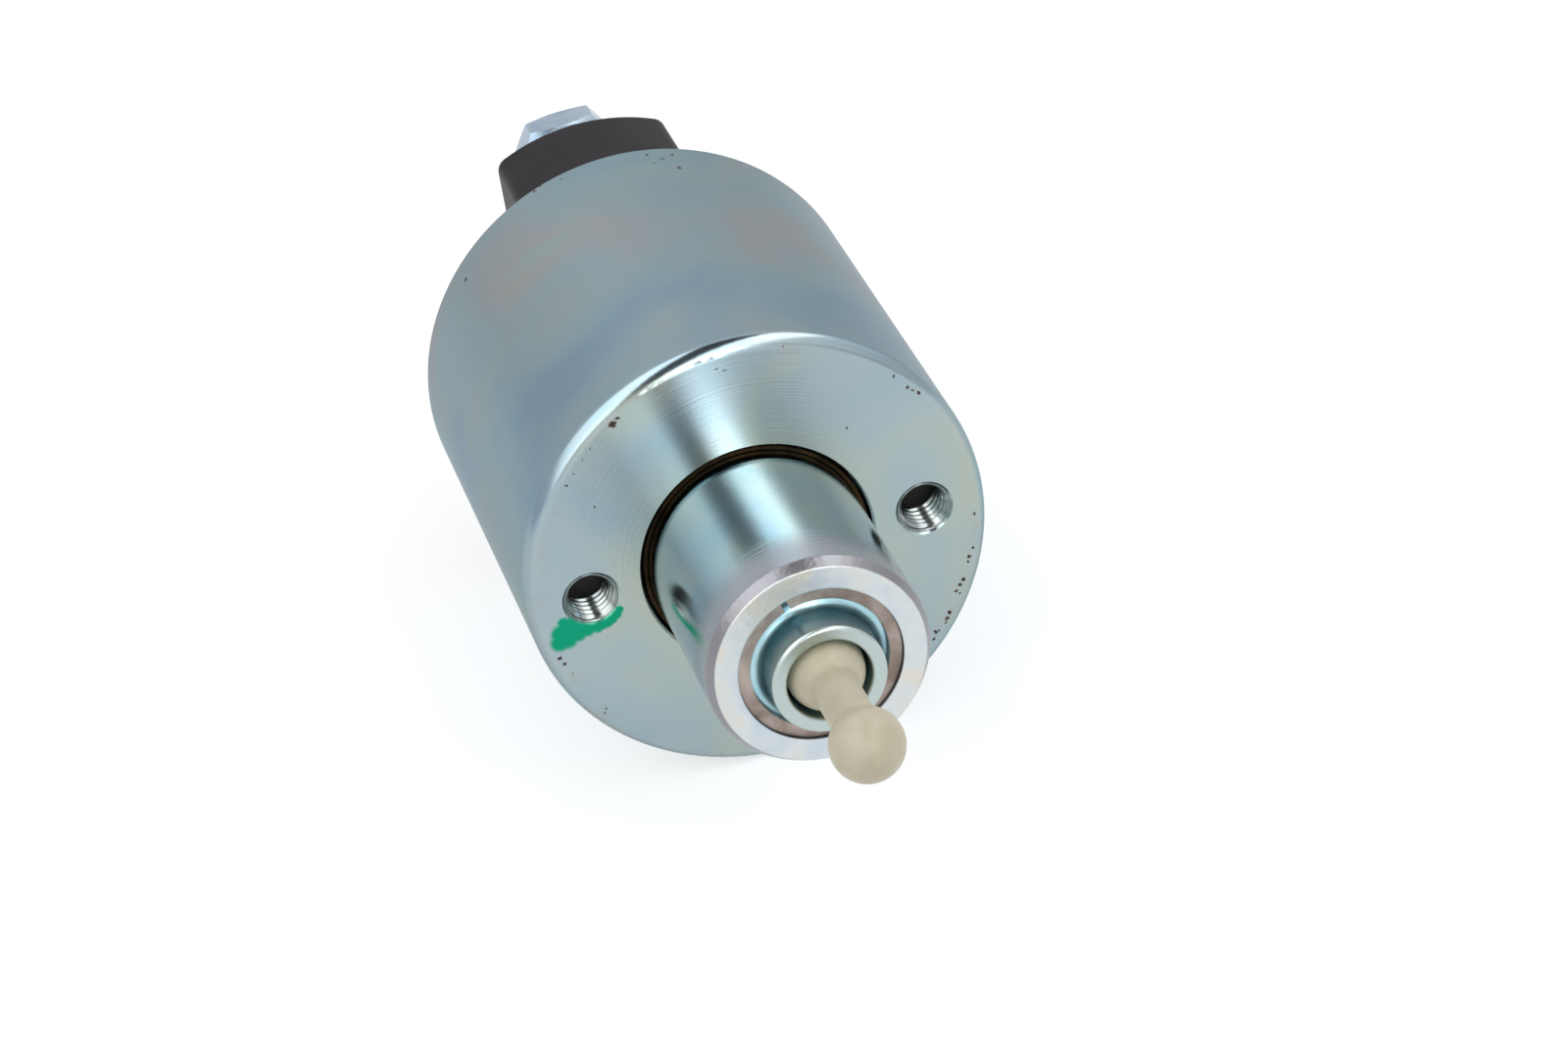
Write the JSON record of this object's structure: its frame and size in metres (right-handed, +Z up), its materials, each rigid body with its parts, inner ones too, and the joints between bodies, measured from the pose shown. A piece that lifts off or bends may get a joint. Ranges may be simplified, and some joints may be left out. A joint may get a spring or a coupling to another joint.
{
  "type": "starter solenoid",
  "caption": "Cylindrical solenoid that pulls a starter's engagement lever in with its plunger and closes the motor contact behind.",
  "frame": {"origin": "centre of the mounting face, on the plunger's axis, midway between the two fixing holes", "axes": "+Y along the plunger's axis into the housing, towards the terminals; +X through the fixing holes; +Z up, through the battery terminal"},
  "size_m": [0.055, 0.1357, 0.055],
  "materials": {
    "zinc_steel": "zinc plated, clear passivated",
    "plain_steel": "oiled, unplated",
    "spring_steel": "drawn wire",
    "brass": "drawn, darkened",
    "copper": "copper",
    "enamelled_wire": "enamelled copper",
    "nylon": "natural nylon",
    "black_moulding": "glass filled, matt",
    "coil_former": "moulded",
    "tape": "wrapped tape",
    "rubber": "moulded"
  },
  "bodies": {
    "casing": {"housing": "zinc_steel", "guide_sleeve": "brass", "bobbin": "coil_former", "pull_in_winding": "enamelled_wire", "hold_in_winding": "enamelled_wire", "winding_wrap": "tape", "fixed_core": "plain_steel", "core_plate": "plain_steel", "cap_seal": "rubber", "rear_cap": "black_moulding", "battery_terminal": "copper", "motor_terminal": "copper", "blade_terminal": "brass", "terminal_seals": "rubber", "terminal_washers": "zinc_steel", "terminal_lock_washers": "zinc_steel", "terminal_nuts": "zinc_steel", "start_leads": "enamelled_wire", "motor_lead": "enamelled_wire", "earth_lead": "enamelled_wire", "plunger_spring": "spring_steel", "opening_spring": "spring_steel"},
    "plunger": {"plunger": "zinc_steel", "plunger_ring": "plain_steel", "collar": "zinc_steel", "engagement_spring": "spring_steel"},
    "link_rod": {"link_rod": "nylon", "rod_washer": "zinc_steel"},
    "contact_rod": {"contact_rod": "plain_steel", "contact_clip": "spring_steel", "contact_spring": "spring_steel"},
    "contact_bridge": {"contact_bridge": "copper", "contact_bush": "coil_former", "contact_washer": "coil_former"}
  },
  "joints": [
    {"name": "plunger_slide", "type": "slide", "parent": "casing", "child": "plunger", "axis": [0, 1, 0], "range_m": [0, 0.0105], "stiffness_N_per_m": 900, "springref_m": -0.008, "deforming": ["plunger_spring"]},
    {"name": "link_rod_slide", "type": "slide", "parent": "plunger", "child": "link_rod", "axis": [0, -1, 0], "range_m": [0, 0.006], "stiffness_N_per_m": 4000, "springref_m": -0.004, "deforming": ["engagement_spring"]},
    {"name": "contact_slide", "type": "slide", "parent": "casing", "child": "contact_rod", "axis": [0, 1, 0], "range_m": [0, 0.00263], "deforming": ["opening_spring"]},
    {"name": "bridge_slide", "type": "slide", "parent": "contact_rod", "child": "contact_bridge", "axis": [0, -1, 0], "range_m": [0, 0.0008], "stiffness_N_per_m": 3000, "springref_m": -0.002, "deforming": ["contact_spring"]}
  ],
  "couplings": [
    {"joint": "contact_slide", "follows": "plunger_slide", "ratio": 0.25}
  ]
}
